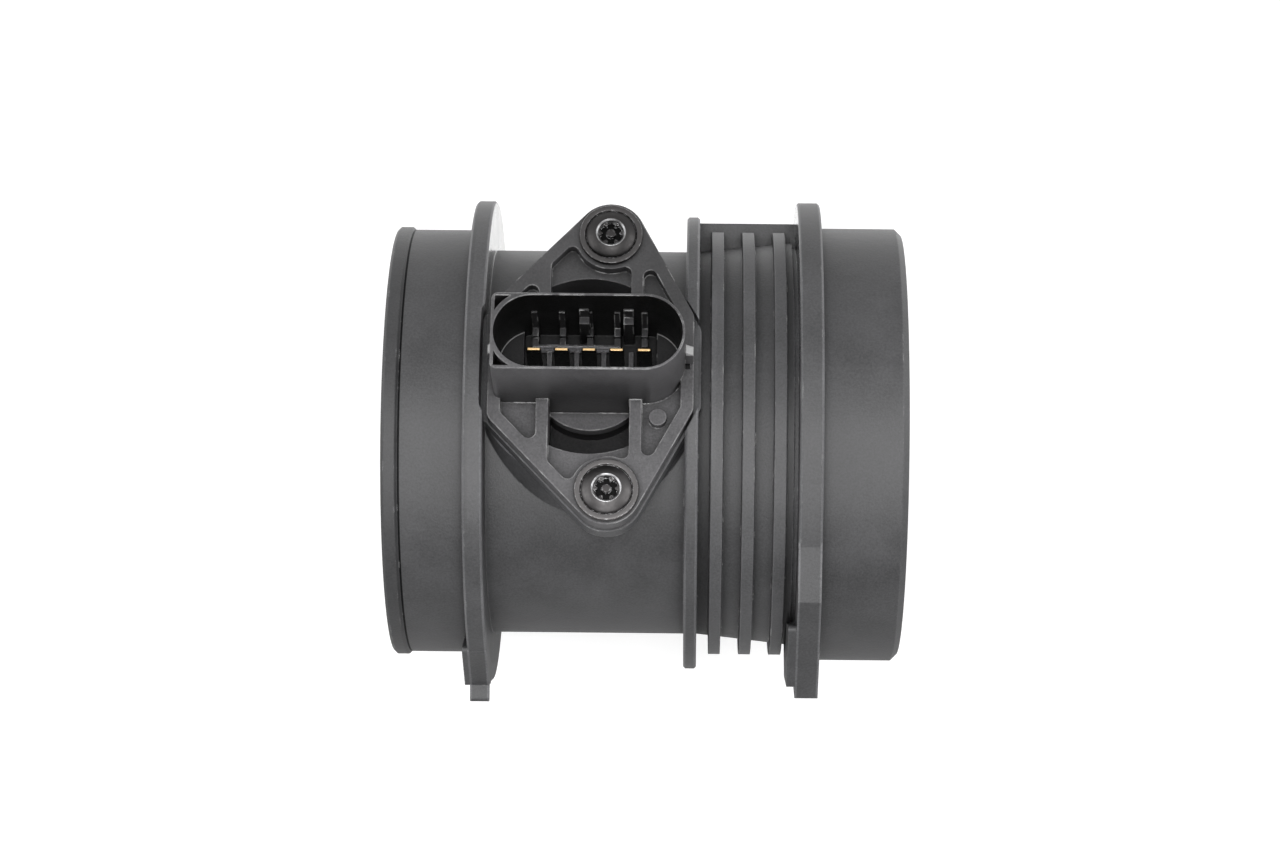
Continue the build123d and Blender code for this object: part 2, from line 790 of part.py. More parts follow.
def bond_ribbons():
    """Short ribbons that join each terminal's leg to the circuit board."""
    leg_face = terminal_thickness / 2
    board_edge = carrier_top - board_margin
    ribbons = Part()
    section = make_face(
        Polyline(
            (leg_face, terminal_leg_end + bond_foot),
            (leg_face, terminal_leg_end),
            (board_top_face, board_edge),
            (board_top_face, board_edge - bond_foot),
            (board_top_face + bond_thickness, board_edge - bond_foot),
            (board_top_face + bond_thickness, board_edge),
            (leg_face + bond_thickness, terminal_leg_end),
            (leg_face + bond_thickness, terminal_leg_end + bond_foot),
            close=True,
        )
    )
    for index in range(terminal_count):
        leg_x = (index - (terminal_count - 1) / 2) * terminal_leg_pitch
        start = Plane.YZ.offset(sensor_x + leg_x - bond_width / 2)
        ribbons += extrude(start * section, bond_width)
    return ribbons


# ---- Electronics ------------------------------------------------------------------------------
def carrier_plate():
    """Metal plate under the board, with the tongue that reaches into the bypass channel."""
    reach = chamber_half_length - carrier_clearance
    plate = span((-reach, reach), (chamber_bottom + carrier_clearance, carrier_top))
    tongue = span((-tongue_width / 2, tongue_width / 2), (tongue_end, carrier_top))
    return side_sketch_to_solid(plate + tongue, chamber_floor, chamber_floor + carrier_thickness)


def circuit_board():
    reach = chamber_half_length - carrier_clearance - board_margin
    bottom = chamber_bottom + carrier_clearance + board_margin
    board = span((-reach, reach), (bottom, carrier_top - board_margin))
    face = chamber_floor + carrier_thickness
    return side_sketch_to_solid(board, face, face + board_thickness)


def on_board(size, place):
    """A flat component that stands on the circuit board."""
    width, height, thickness = size
    outline = Pos(*place) * Rectangle(width, height)
    return side_sketch_to_solid(outline, board_top_face, board_top_face + thickness)


def sensor_chip():
    width, height, thickness = chip_size
    outline = Pos(0, tongue_end + chip_tip_gap + height / 2) * Rectangle(width, height)
    face = chamber_floor + carrier_thickness
    return side_sketch_to_solid(outline, face, face + thickness)


def capacitors():
    parts = Part()
    for place in capacitor_places:
        parts += on_board(capacitor_size, place)
    return parts


def thermistor_leads(bottom, top):
    """The two square wires on which the thermistor hangs."""
    leads = Sketch()
    for side in (-1, 1):
        y = side * thermistor_lead_pitch / 2
        leads += Pos(thermistor_x, y) * Rectangle(thermistor_lead_width, thermistor_lead_width)
    return upright(leads, bottom, top)


def temperature_sensor():
    """Thermistor bead on two leads that hang from the neck on the inlet side of the blade."""
    bead_height = neck_bottom - thermistor_drop
    lead_top = neck_bottom + thermistor_lead_root
    sensor = round_post(thermistor_radius, bead_height - thermistor_length, bead_height, thermistor_x)
    return sensor + thermistor_leads(bead_height - overshoot, lead_top)


def sensor_body():
    """Flange, socket, neck and probe blade, moulded in one with the terminals inside."""
    body = sensor_flange() + sensor_neck() + connector_socket()
    body = body - centre_well() - socket_cavity() + socket_posts() + socket_keys()
    body += probe_blade()
    for index in range(terminal_count):
        body -= terminal(index)
    return body - thermistor_leads(neck_bottom - overshoot, neck_bottom + thermistor_lead_root)


def probe_seal():
    """Flat-sided rubber ring squeezed between the neck's groove and the seat's bore."""
    inner = neck_radius - seal_groove_depth + seal_slack
    outer = seat_bore_radius - seal_slack
    bottom = seal_groove_base + seal_side_gap
    top = seal_groove_base + seal_groove_width - seal_side_gap
    return round_post(outer, bottom, top) - round_post(inner, bottom - overshoot, top + overshoot)


# ---- Inlet insert -----------------------------------------------------------------------------
def across_duct(sketch, start, end):
    """A sketch of the duct's cross-section, given length along X."""
    return extrude(Plane.YZ.offset(start) * sketch, end - start)


def flow_honeycomb():
    """Six-sided cells inside a rim, each cell cut off where it meets the rim."""
    pitch = cell_across_flats + cell_wall
    inner = insert_radius - honeycomb_rim
    row_pitch = pitch * cos(radians(30))
    rows = int(inner / row_pitch) + 1
    columns = int(inner / pitch) + 1
    least_cell = cell_across_flats * least_cell_share
    cell = RegularPolygon(cell_across_flats / 2, 6, major_radius=False, rotation=30)
    cells = Sketch()
    for row in range(-rows, rows + 1):
        shift = pitch / 2 if row % 2 else 0
        for column in range(-columns, columns + 1):
            place = (column * pitch + shift, row * row_pitch)
            if hypot(*place) < inner - least_cell:
                cells += Pos(*place) * cell
    grid = Circle(insert_radius) - (cells & Circle(inner))
    return across_duct(grid, insert_shoulder, honeycomb_front)


def inlet_screen():
    """Square wire screen in a flat rim, against the front of the cells."""
    inner = insert_radius - screen_rim
    count = int(inner / screen_pitch)
    wires = Sketch()
    for index in range(-count, count + 1):
        place = index * screen_pitch
        length = 2 * sqrt(inner * inner - place * place) + screen_rim
        wires += Pos(place, 0) * Rectangle(screen_wire, length)
        wires += Pos(0, place) * Rectangle(length, screen_wire)
    rim = Circle(insert_radius) - Circle(inner)
    return across_duct(rim + wires, honeycomb_front, screen_front)


def screen_ring():
    """Press-fit ring that holds the screen and the cells against the duct's shoulder."""
    opening = insert_radius - ring_wall
    ring = turned(screen_front, screen_front + ring_depth, inlet_bore_radius - ring_clearance)
    return ring - turned(screen_front - overshoot, screen_front + ring_depth + overshoot, opening)


# ---- Screws -----------------------------------------------------------------------------------
def screw_recess():
    """A six-pointed star round a centre pin."""
    turn = 360 / screw_recess_lobes
    lobe_width = 2 * screw_recess_radius * tan(radians(turn / 4))
    recess = Sketch()
    for index in range(screw_recess_lobes // 2):
        recess += Rot(0, 0, index * turn) * Rectangle(2 * screw_recess_radius, lobe_width)
    return recess - Circle(screw_recess_pin_radius)


def flange_screw(side):
    """Domed washer-head screw with a six-lobed recess and a centre pin."""
    washer_top = flange_top + screw_washer_thickness
    crown_top = washer_top + screw_dome_height
    section = make_face(
        Polyline(
            (0, flange_top - screw_length),
            (screw_shank_radius, flange_top - screw_length),
            (screw_shank_radius, flange_top),
            (screw_washer_radius, flange_top),
            (screw_washer_radius, washer_top),
            (screw_dome_radius, washer_top),
            (screw_crown_radius, crown_top),
            (0, crown_top),
            close=True,
        )
    )
    screw = revolve(Plane.XZ * section, Axis.Z, 360)
    recess = Pos(0, 0, crown_top - screw_recess_depth) * extrude(screw_recess(), 2 * screw_recess_depth)
    return Pos(sensor_x + screw_offset, side * screw_spacing / 2, 0) * (screw - recess)


def main():
    save(duct_housing(), "duct_housing")
    save(flow_honeycomb(), "flow_honeycomb")
    save(inlet_screen(), "inlet_screen")
    save(screen_ring(), "screen_ring")
    save(sensor_body(), "sensor_body")
    save(probe_seal(), "probe_seal")
    save(electronics_cover(), "electronics_cover")
    save(bypass_cover(), "bypass_cover")
    save(carrier_plate(), "carrier_plate")
    save(circuit_board(), "circuit_board")
    save(on_board(evaluation_chip_size, evaluation_chip_place), "evaluation_chip")
    save(capacitors(), "capacitors")
    save(bond_ribbons(), "bond_ribbons")
    save(sensor_chip(), "sensor_chip")
    save(temperature_sensor(), "temperature_sensor")
    for index in range(terminal_count):
        save(terminal(index), f"terminal_{index + 1}")
    save(flange_screw(1), "flange_screw_upper")
    save(flange_screw(-1), "flange_screw_lower")


main()
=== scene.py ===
"""Looks of the plug-in mass airflow sensor: camera, studio, materials and the finest pieces.

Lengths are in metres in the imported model's frame: X along the duct and out of its inlet, +Z along
the plug-in sensor, origin on the duct axis in the inlet flange's outer face.
"""

import json
from math import cos, pi, radians, sin, sqrt

import bmesh
import bpy
from mathutils import Matrix, Vector


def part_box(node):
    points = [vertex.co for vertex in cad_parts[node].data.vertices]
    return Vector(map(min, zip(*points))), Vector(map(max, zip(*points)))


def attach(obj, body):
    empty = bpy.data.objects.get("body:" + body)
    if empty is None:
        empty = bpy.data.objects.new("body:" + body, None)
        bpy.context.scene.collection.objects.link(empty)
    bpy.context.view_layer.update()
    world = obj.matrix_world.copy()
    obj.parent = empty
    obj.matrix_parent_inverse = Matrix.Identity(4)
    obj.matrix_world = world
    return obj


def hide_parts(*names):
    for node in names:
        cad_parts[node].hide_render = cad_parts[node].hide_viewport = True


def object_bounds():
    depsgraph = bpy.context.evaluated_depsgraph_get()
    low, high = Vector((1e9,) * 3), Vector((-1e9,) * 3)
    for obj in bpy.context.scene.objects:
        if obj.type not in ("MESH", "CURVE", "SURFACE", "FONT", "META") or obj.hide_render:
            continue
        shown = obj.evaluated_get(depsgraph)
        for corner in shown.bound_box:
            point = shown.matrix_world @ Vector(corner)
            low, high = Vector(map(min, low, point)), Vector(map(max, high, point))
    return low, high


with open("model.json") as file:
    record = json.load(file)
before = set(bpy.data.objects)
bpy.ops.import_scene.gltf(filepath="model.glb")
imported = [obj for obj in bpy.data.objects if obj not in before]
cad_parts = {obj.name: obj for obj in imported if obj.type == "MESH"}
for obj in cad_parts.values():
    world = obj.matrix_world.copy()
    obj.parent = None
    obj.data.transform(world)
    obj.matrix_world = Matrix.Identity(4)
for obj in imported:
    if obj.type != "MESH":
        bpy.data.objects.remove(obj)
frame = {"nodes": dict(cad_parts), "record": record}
nodes = frame["nodes"]
cad_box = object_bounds()

MM = 0.001


def millimetres(*sizes):
    """Sizes in millimetres, as metres."""
    return tuple(size * MM for size in sizes)


def middle(node):
    """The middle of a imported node's box."""
    low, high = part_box(node)
    return (low + high) / 2


# ---- Camera, as the picture was taken ---------------------------------------------------------
PICTURE_WIDTH = 1280
FOCAL_PIXELS = 3488
SENSOR_WIDTH_MM = 36.0
CAMERA_TILT = radians(20.0)
CAMERA_ROLL = radians(0.56)
CAMERA_DISTANCE = 691 * MM
CAMERA_X = -23.7 * MM
CENTRE_RIGHT_PIXELS = 56
CENTRE_DOWN_PIXELS = 18
CAMERA_CLIP_START = 0.05

# ---- Studio light: name, place, size in metres and power in watts -----------------------------
DUCT_MIDDLE = (-0.03, 0, 0)
SOFTBOXES = (
    ("key_softbox", (-0.03, -0.225, 0.84), (0.28, 0.28), 3.2),
    ("front_softbox", (-0.03, -0.70, 0.68), (0.9, 0.4), 5.0),
    ("left_softbox", (-0.75, 0.0, 0.45), (0.6, 0.6), 3.3),
    ("right_softbox", (0.70, 0.0, 0.45), (0.6, 0.6), 4.0),
)
WORLD_FILL = 0.24
WORLD_FADE = (-0.5, 0.2)
WORLD_MIRROR = (0.25, 1.0)
FLOOR_HALF = 2.0
FLOOR_GAP = 0.2 * MM
FLOOR_TONE = 0.5
FLOOR_GLOW = 0.68
FLOOR_ROUGHNESS = 0.9
FLOOR_SPECULAR = 0.1
FLOOR_FADE = (-0.06, 0.06)
FLOOR_MIRROR = (0.0, 1.0)

# ---- Colours, linear --------------------------------------------------------------------------
HOUSING_GREY = (0.046, 0.046, 0.048)
SENSOR_GREY = (0.047, 0.046, 0.048)
GRID_GREY = (0.035, 0.035, 0.037)
COVER_GREY = (0.05, 0.05, 0.052)
WIRE_GREY = (0.42, 0.41, 0.39)
RUBBER_BLACK = (0.014, 0.014, 0.015)
ALUMINIUM = (0.62, 0.62, 0.63)
CERAMIC_GREEN = (0.12, 0.22, 0.19)
CHIP_BLACK = (0.02, 0.02, 0.022)
CAPACITOR_TAN = (0.42, 0.28, 0.16)
SILICON_BLUE = (0.16, 0.18, 0.25)
GLAZE_BROWN = (0.18, 0.075, 0.03)
GOLD = (0.92, 0.64, 0.32)
# Painted shade on the terminal blades below their gilded tips.
TERMINAL_SHADE = (0.008, 0.008, 0.008)
SCREW_BLACK = (0.077, 0.074, 0.074)
# Painted shade deep in the screw recesses.
RECESS_SHADE = (0.012, 0.012, 0.012)
# Painted highlight on the ring round each screw recess, and wear on the screws' edges.
SCREW_WEAR_AND_HIGHLIGHT = (0.62, 0.62, 0.63)
# Wear specks on plastic edges, painted highlights on the sensor's latch ramps and where its end floors meet
# the socket wall, and lighter patches on the socket's front rim.
PLASTIC_WEAR_AND_HIGHLIGHT = (0.30, 0.30, 0.30)

# ---- Plain gloss and grain --------------------------------------------------------------------
PLAIN_SPECULAR = 0.5
GRAIN_SIZE = 0.42 * MM
GRAIN_DEPTH = 0.05 * MM
CLOUD_SIZE = 9 * MM
WAVE_SIZE = 3 * MM
SCRATCH_SIZE = 0.5 * MM
PLASTIC_EDGE = 0.4 * MM
METAL_EDGE = 0.08 * MM
GRAIN_TONES = (0.70, 1.36)
FINE_SHARE = 0.6
NOISE_SPAN = (0.3, 0.7)
NOISE_CORE = (0.35, 0.65)
GLOSS_SWING = 0.07
SCRATCH_TONE = 0.8
SCRATCH_GLOSS = (-0.08, 0.1)
SCRATCH_DEPTH = 0.01 * MM
BEVEL_SAMPLES = 6
EDGE_FACING = (0.985, 0.90)
WORN_PATCH = 5 * MM
WORN_EDGE_WIDTH = 0.45 * MM
CREASE_SAMPLES = 8
CREASE_OPENNESS = (0.35, 0.95)
UPWARD_NORMAL = (0.4, 0.8)
FALLING = (1.0, 0.0)
SOFT = 0.1 * MM
FINE_SOFT = 0.06 * MM

# ---- Tones of the plastic ---------------------------------------------------------------------
# A SHADE or GLOW is a factor on the colour that paints shade or light, and a MATT is taken from the plain
# specular level.
# A pair of sizes says where a place or a fade starts and ends. A CREASE is a reach and a painted shade.

# ---- Housing: places along the duct axis, and their tones -------------------------------------
FLANGE_FACES = millimetres(-63.3, -4.45)
FLANGE_EDGES = millimetres(-67.0, -63.7, -25.8, -23.7, -4.45, -0.4)
FLANGE_EDGE_WIDTH = 0.4 * MM
FLANGE_EDGE_GLOW = 1.9
RIM_RADII = millimetres(43.9, 44.1)
POLISHED_DEPTH = millimetres(0.1, 0.05)
POLISH_FADE = millimetres(-6, 6)
POLISH = 0.36
BEAD_FOOT = cad_box[0][0] + 3.1 * MM
BEAD_RADII = millimetres(40, 41)
BEAD_SHADE = 0.66
BEAD_FOOT_WIDTH = 0.4 * MM
BEAD_FOOT_SHADE = 0.1
BEAD_FOOT_MATT = 0.45
CONE_ENDS = millimetres(-23.4, -4.4)
FIN_ROW = millimetres(-21.1, -6.6)
FIN_FOOT_RADIUS = 40.6 * MM
FIN_FOOT_FADE = 0.4 * MM
FIN_TIP_GLOW = 1.25
BESIDE_FINS_SHADE = 0.62
RELIEF_GROOVE = millimetres(-5.4, -4.4)
RELIEF_GROOVE_GLOW = 4.0
SEAT_SPAN = millimetres(-66, -20)
SEAT_FADE = millimetres(36, 38)
SEAT_GLOW = 1.2
HOUSING_CREASE = (2.0 * MM, 0.55)
HOUSING_EDGE = 0.6 * MM
HOUSING_EDGE_GLOW = 1.5
HOUSING_WORN = (0.58, 0.68)
UNWORN_FOOT = millimetres(-63.6, -61.0)

# ---- Sensor body: places, and their tones -----------------------------------------------------
SENSOR_X = middle("terminal_3").x
NEAR_FADE = millimetres(-9, 6)
NEAR_GLOW = 1.6
FAR_SHADE = 0.82
SOCKET_MIDDLE = SENSOR_X + 0.05 * MM
SOCKET_HALF_STRAIGHT = 10.33 * MM
SOCKET_RADIUS = 7.0 * MM
SOCKET_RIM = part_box("sensor_body")[1].z
SOCKET_PIT = 39.5 * MM
SOCKET_WALL_SHADE = 0.4
SOCKET_MATT = 0.2
INNER_FRONT_SHADE = 0.25
COMB_X = (SENSOR_X - 10.8 * MM, SENSOR_X + 5.8 * MM)
COMB_Y = millimetres(3.1, 3.4)
COMB_TOP = 43.4 * MM
COMB_FRONT_GLOW = 60.0
COMB_TOP_SHADE = 0.4
HIGH_TOPS = 50.2 * MM
HIGH_TOP_SHADE = 0.3
FLOOR_RIB_TOPS = millimetres(40.3, 40.9)
FLOOR_RIB_GLOW = 2.0
END_FLOOR = 42.0 * MM
END_FLOOR_SHADE = 0.35
FLOOR_JUNCTION = (SOCKET_RADIUS - 0.25 * MM, 0.1 * MM, 0.05 * MM)
FRONT_WALL = -7.45 * MM
FRONT_WALL_FADE = millimetres(56, 45)
FRONT_WALL_SHADE = 0.3
LATCH_ROOT = 17.85 * MM
LATCH_RAMP = millimetres(49.4, 51.0)
# Lighter patches along the socket's lower front rim.
BRIGHT_RIM_X = millimetres(-42, -33)
BRIGHT_RIM_Y = millimetres(-8, -6.6)
BRIGHT_RIM_SOFT = 3 * MM
BRIGHT_RIM_PATCH = 1.1 * MM
BRIGHT_RIM_PATCHES = (0.42, 0.58)
SHADED_CORNER_X = millimetres(-37, -32)
SHADED_CORNER_Y = millimetres(7, 12)
SHADED_CORNER_SHADE = 0.6
WELL_OUTER = 17.7 * MM
GUTTER_HEIGHTS = millimetres(30.9, 34.3)
GUTTER_STEP = millimetres(32.5, 33.5)
GUTTER_SHADES = (0.3, 0.15)
GUTTER_MATT = 0.3
SENSOR_CREASE = (1.5 * MM, 0.25)
SENSOR_EDGE = 0.5 * MM
SENSOR_EDGE_GLOW = 1.8
SENSOR_WORN = (0.50, 0.58)

# ---- Terminals: fades in millimetres from the blade's tip -------------------------------------
GILDED_FADE = (-0.12, -0.02)
GILDED_RAGGED = 0.1 * MM
TERMINAL_GLOSS = (0.25, 0.4)
TERMINAL_SCRATCH_DEPTH = 0.004 * MM

# ---- Flange screws: fades in millimetres above the flange -------------------------------------
SCREW_X = SENSOR_X + 3.55 * MM
SCREW_Y = middle("flange_screw_upper").y
FLANGE_TOP = 43.9 * MM
THREAD_PITCH = 1.4 * MM
THREAD_FLANK = 0.3 * THREAD_PITCH
SHANK_RADIUS = 1.75 * MM
SHANK_LENGTH = 0.6 * MM
THREAD_ROOT_RADIUS = 1.35 * MM
SCREW_TIP_RADIUS = 0.9 * MM
SCREW_TIP_LENGTH = 0.6 * MM
DOME_RADIUS = 4.7 * MM
DOME_SAG = 0.16 * MM
DOME_STEPS = 7
CROWN_RADIUS = 2.78 * MM
RECESS_RADIUS = 2.3 * MM
LOBES = 6
LOBE_ROUNDING = 1.5
LOBE_GAP = 0.12 * MM
LOBE_DEPTH = 0.62 * MM
PIN_RADIUS = 0.85 * MM
RECESS_FADE = (0.9, 1.3)
RING_GAP = 0.12 * MM
RING_FADE = (1.2, 1.5)
RING_PATCH = 2.2 * MM
RING_PATCHES = (0.4, 0.6)
RING_TONES = (0.3, 1.0)
SCREW_EDGE = 0.3 * MM
SCREW_WORN_PATCH = 0.6 * MM
SCREW_WORN = (0.48, 0.58)
WASHER_GLOW = 1.7
BETWEEN_SCREWS = millimetres(-1, 1)
UPPER_SCREW_SHADE = 0.55

# ---- Woven screen -----------------------------------------------------------------------------
SCREEN_RIM = 1.2 * MM
WIRE_PITCH = 1.7 * MM
WIRE_RADIUS = 0.13 * MM
WIRE_OVERLAP = 0.3 * MM

TURN_SEGMENTS = 96
SMOOTH_ANGLE = radians(35)


# ---- Shader node helpers ----------------------------------------------------------------------
def join(tree, value, socket):
    """Feed a socket from another socket or with a constant value."""
    if isinstance(value, bpy.types.NodeSocket):
        tree.links.new(value, socket)
    else:
        socket.default_value = value


class Material:
    """A node material round one Principled shader, built in object coordinates."""

    def __init__(self, name, colour, metallic=0.0, roughness=0.5):
        self.material = bpy.data.materials.new(name)
        self.material.use_nodes = True
        self.tree = self.material.node_tree
        self.shader = self.tree.nodes["Principled BSDF"]
        self.place = self.tree.nodes.new("ShaderNodeTexCoord").outputs["Object"]
        self.shader.inputs["Base Color"].default_value = (*colour, 1)
        self.shader.inputs["Metallic"].default_value = metallic
        self.shader.inputs["Roughness"].default_value = roughness
        self.shader.inputs["Specular IOR Level"].default_value = PLAIN_SPECULAR

    def node(self, kind, inputs=None, **settings):
        """A new node with its settings, and its inputs as sockets or constants."""
        made = self.tree.nodes.new("ShaderNode" + kind)
        for key, value in settings.items():
            setattr(made, key, value)
        for key, value in (inputs or {}).items():
            join(self.tree, value, made.inputs[key])
        return made

    def math(self, operation, a, b=0.0):
        """The result of one operation on a and b."""
        return self.node("Math", {0: a, 1: b}, operation=operation).outputs[0]

    def noise(self, size, detail=2.0, roughness=0.5, stretch=None):
        """Noise whose lumps are about size across; stretch scales the coordinates first."""
        vector = self.place
        if stretch:
            mapping = self.node("Mapping", {"Vector": vector, "Scale": stretch})
            vector = mapping.outputs[0]
        values = {"Vector": vector, "Scale": 1 / size, "Detail": detail, "Roughness": roughness}
        return self.node("TexNoise", values).outputs["Fac"]

    def span(self, value, low, high, out_low=0.0, out_high=1.0):
        """Value from one range to another, held at both ends."""
        values = {"Value": value, 1: low, 2: high, 3: out_low, 4: out_high}
        return self.node("MapRange", values, clamp=True).outputs[0]

    def step(self, value, place, low, high, *outputs):
        """A span between two offsets, in millimetres, from a place."""
        return self.span(value, place + low * MM, place + high * MM, *outputs)

    def blend(self, factor, a, b):
        """Colour a where factor is 0 and b where it is 1."""
        ends = [end if isinstance(end, bpy.types.NodeSocket) else (*end, 1) for end in (a, b)]
        mix = self.node("Mix", data_type="RGBA")
        for value, index in zip((factor, *ends), (0, 6, 7)):
            join(self.tree, value, mix.inputs[index])
        return mix.outputs[2]

    def axes(self):
        """The place's X, Y and Z."""
        return self.node("SeparateXYZ", {0: self.place}).outputs[:3]

    def length(self, a, b):
        """The distance that two offsets at right angles make."""
        squares = [self.math("MULTIPLY", side, side) for side in (a, b)]
        return self.math("SQRT", self.math("ADD", *squares))

    def folded(self, operation, masks):
        """The first mask joined with each of the others by one operation."""
        value = masks[0]
        for mask in masks[1:]:
            value = self.math(operation, value, mask)
        return value

    def both(self, *masks):
        """1 where every mask is 1."""
        return self.folded("MULTIPLY", masks)

    def either(self, *masks):
        """1 where any mask is 1."""
        return self.folded("MAXIMUM", masks)

    def outside(self, mask):
        """1 where a mask is 0."""
        return self.math("SUBTRACT", 1.0, mask)

    def within(self, value, low, high, soft=SOFT):
        """1 between low and high and 0 outside, with soft ends."""
        rising = self.span(value, low - soft, low + soft)
        falling = self.span(value, high - soft, high + soft, *FALLING)
        return self.both(rising, falling)

    def near(self, value, place, reach, soft=SOFT):
        """1 within reach of a place."""
        return self.within(value, place - reach, place + reach, soft)

    def scaled(self, colour, factor):
        """A colour made darker or lighter by a factor."""
        values = {0: colour, "Scale": factor}
        return self.node("VectorMath", values, operation="SCALE").outputs[0]

    def toned(self, colour, mask, factor):
        """A colour made darker or lighter by a factor where mask is 1."""
        return self.scaled(colour, self.span(mask, 0, 1, 1.0, factor))

    def less_gloss(self, loss):
        """Lower the plain specular level by a socket's value."""
        self.feed("Specular IOR Level", self.math("SUBTRACT", PLAIN_SPECULAR, loss))

    def upward(self):
        """1 on faces that look along +Z and 0 on upright ones."""
        normal = self.node("NewGeometry").outputs["Normal"]
        return self.span(self.node("SeparateXYZ", {0: normal}).outputs[2], *UPWARD_NORMAL)

    def feed(self, name, value):
        """Link a socket to one of the shader's inputs."""
        self.tree.links.new(value, self.shader.inputs[name])

    def rounded(self, radius):
        """The normal of a face whose edges are rounded by a radius."""
        return self.node("Bevel", {"Radius": radius}, samples=BEVEL_SAMPLES).outputs[0]

    def relief(self, layers, edge_radius):
        """Bump from (height value, depth in metres) layers over edges rounded by edge_radius."""
        normal = self.rounded(edge_radius)
        for value, depth in layers:
            values = {"Height": value, "Distance": depth, "Strength": 1.0, "Normal": normal}
            normal = self.node("Bump", values).outputs[0]
        self.feed("Normal", normal)

    def edges(self, radius):
        """1 on sharp edges and 0 on open faces."""
        flat = self.node("NewGeometry").outputs["Normal"]
        values = {0: self.rounded(radius), 1: flat}
        facing = self.node("VectorMath", values, operation="DOT_PRODUCT").outputs["Value"]
        return self.span(facing, *EDGE_FACING)

    def shaded_in_creases(self, colour, reach, darkest):
        """A colour with painted shade that darkens into inner corners within reach."""
        hidden = self.node("AmbientOcclusion", {"Distance": reach}, samples=CREASE_SAMPLES)
        return self.scaled(colour, self.span(hidden.outputs["AO"], *CREASE_OPENNESS, darkest, 1.0))

    def wear_and_highlights(self, low, high):
        """Bright specks along the sharp edges, where noise rises past low."""
        patches = self.span(self.noise(WORN_PATCH, detail=4.0, roughness=0.65), low, high)
        return self.both(self.edges(WORN_EDGE_WIDTH), patches)


def moulded_plastic(name, colour, roughness=0.5, light_and_wear=None, polish=None):
    """Spark-eroded plastic: fine grain, cloudy gloss and a slight change of tone."""
    made = Material(name, colour, roughness=roughness)
    fine = made.noise(GRAIN_SIZE, detail=3.0, roughness=0.6)
    cloud = made.noise(CLOUD_SIZE)
    ends = [tuple(factor * channel for channel in colour) for factor in GRAIN_TONES]
    shares = ((fine, FINE_SHARE), (cloud, 1 - FINE_SHARE))
    tone = made.math("ADD", *(made.math("MULTIPLY", noise, share) for noise, share in shares))
    grained = made.blend(made.span(tone, *NOISE_CORE), *ends)
    if light_and_wear:
        grained = light_and_wear(made, grained)
    made.feed("Base Color", grained)
    gloss = made.span(tone, *NOISE_SPAN, roughness - GLOSS_SWING, roughness + GLOSS_SWING)
    if polish:
        gloss = polish(made, gloss)
    made.feed("Roughness", gloss)
    made.relief([(fine, GRAIN_DEPTH), (made.noise(WAVE_SIZE), GRAIN_DEPTH)], PLASTIC_EDGE)
    return made.material


def flange_polish(made, gloss):
    """The far halves of the end flanges' inner faces are smoother than the rest."""
    x, y, _ = made.axes()
    faces = [made.near(x, place, *POLISHED_DEPTH) for place in FLANGE_FACES]
    polished = made.both(made.math("ADD", *faces), made.span(y, *POLISH_FADE))
    return made.math("SUBTRACT", gloss, made.math("MULTIPLY", polished, POLISH))


def housing_light_and_wear(made, colour):
    """Painted highlights make rims and fin tips lighter; painted shade darkens the bead, its foot and the
    grooves beside the fins.
    """
    x, y, z = made.axes()
    from_axis = made.length(y, z)
    inner = made.span(from_axis, FIN_FOOT_RADIUS, FIN_FOOT_RADIUS + FIN_FOOT_FADE, *FALLING)
    fin_row = made.within(x, *FIN_ROW)
    beside_fins = made.math("SUBTRACT", made.within(x, *CONE_ENDS), fin_row)
    bead = made.step(x, BEAD_FOOT, 0, -0.1)
    bead_foot = made.within(x, BEAD_FOOT, BEAD_FOOT + BEAD_FOOT_WIDTH, FINE_SOFT)
    # Painted shade beside the fins, on the bead and in the bead's foot line; painted light in the relief
    # groove and on the fin tips.
    tones = (
        (made.both(inner, beside_fins), BESIDE_FINS_SHADE),
        (made.both(inner, made.within(x, *RELIEF_GROOVE)), RELIEF_GROOVE_GLOW),
        (made.both(fin_row, made.outside(inner)), FIN_TIP_GLOW),
        (made.both(bead, made.span(from_axis, *BEAD_RADII)), BEAD_SHADE),
        (bead_foot, BEAD_FOOT_SHADE),
    )
    for mask, factor in tones:
        colour = made.toned(colour, mask, factor)
    made.less_gloss(made.math("MULTIPLY", bead_foot, BEAD_FOOT_MATT))
    # Painted light on the seat, and painted shade in the creases everywhere else.
    seat = made.both(made.span(z, *SEAT_FADE), made.within(x, *SEAT_SPAN))
    colour = made.blend(seat, made.shaded_in_creases(colour, *HOUSING_CREASE), made.scaled(colour, SEAT_GLOW))
    # Painted highlights along the sharp edges and on the flange chamfers.
    colour = made.toned(colour, made.edges(HOUSING_EDGE), HOUSING_EDGE_GLOW)
    for edge in FLANGE_EDGES:
        band = made.within(x, edge, edge + FLANGE_EDGE_WIDTH, FINE_SOFT)
        colour = made.toned(colour, made.both(band, made.span(from_axis, *RIM_RADII)), FLANGE_EDGE_GLOW)
    wear_and_highlights = made.both(made.wear_and_highlights(*HOUSING_WORN), made.outside(made.within(x, *UNWORN_FOOT)))
    return made.blend(wear_and_highlights, colour, PLASTIC_WEAR_AND_HIGHLIGHT)


